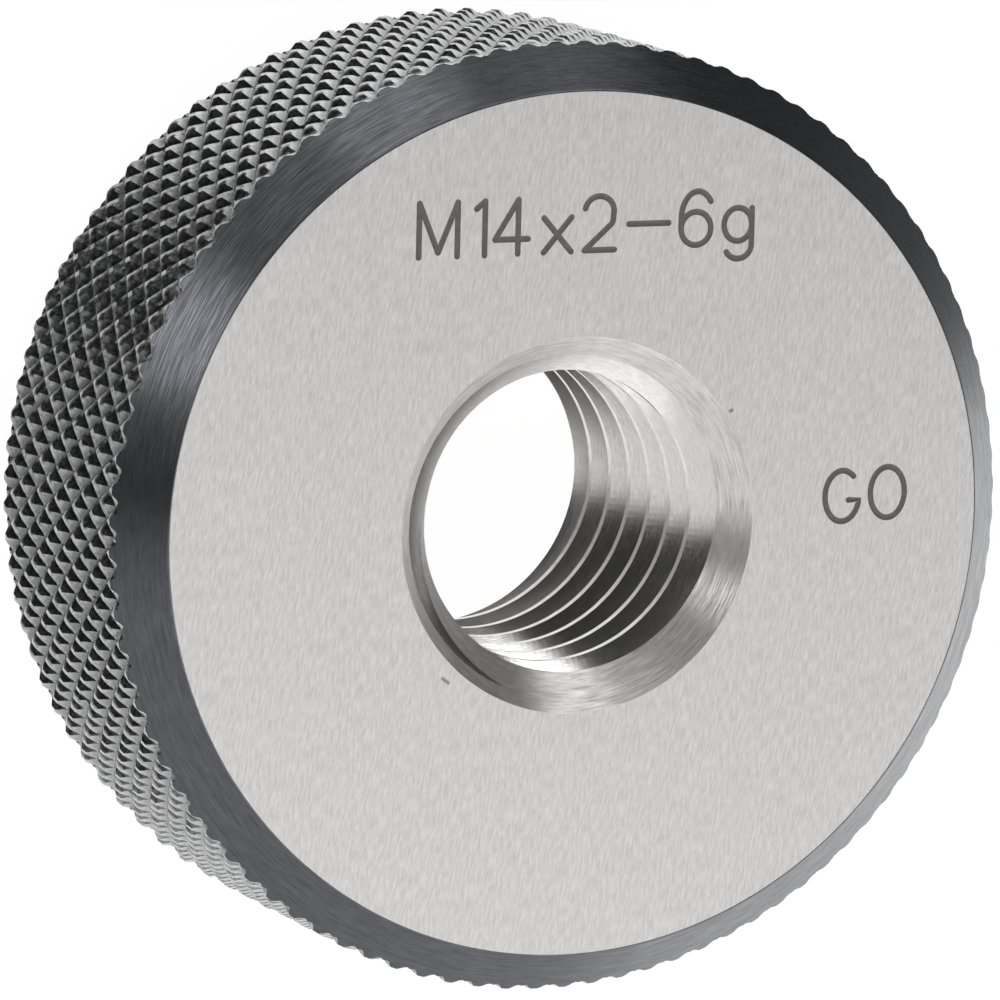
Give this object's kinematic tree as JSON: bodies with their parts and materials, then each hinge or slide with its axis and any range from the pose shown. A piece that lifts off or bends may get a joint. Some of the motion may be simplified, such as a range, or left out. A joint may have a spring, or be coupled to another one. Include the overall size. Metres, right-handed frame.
{
  "type": "thread ring gauge",
  "caption": "Knurled steel ring gauge with bevelled rims, flat ground faces and a countersunk metric screw thread through its middle, for checking outside threads.",
  "frame": {"origin": "centre of the back face, on the axis of the bore", "axes": "+Z along the bore from the back face to the marked face, +Y towards the thread size marked above the bore, +X towards the mark at its right"},
  "size_m": [0.038, 0.038, 0.016],
  "materials": {
    "gauge_ring": "faces and bore ground bright, bevels and knurled rim blackened"
  },
  "bodies": {
    "root": {"gauge_ring": "gauge_ring"}
  },
  "joints": []
}
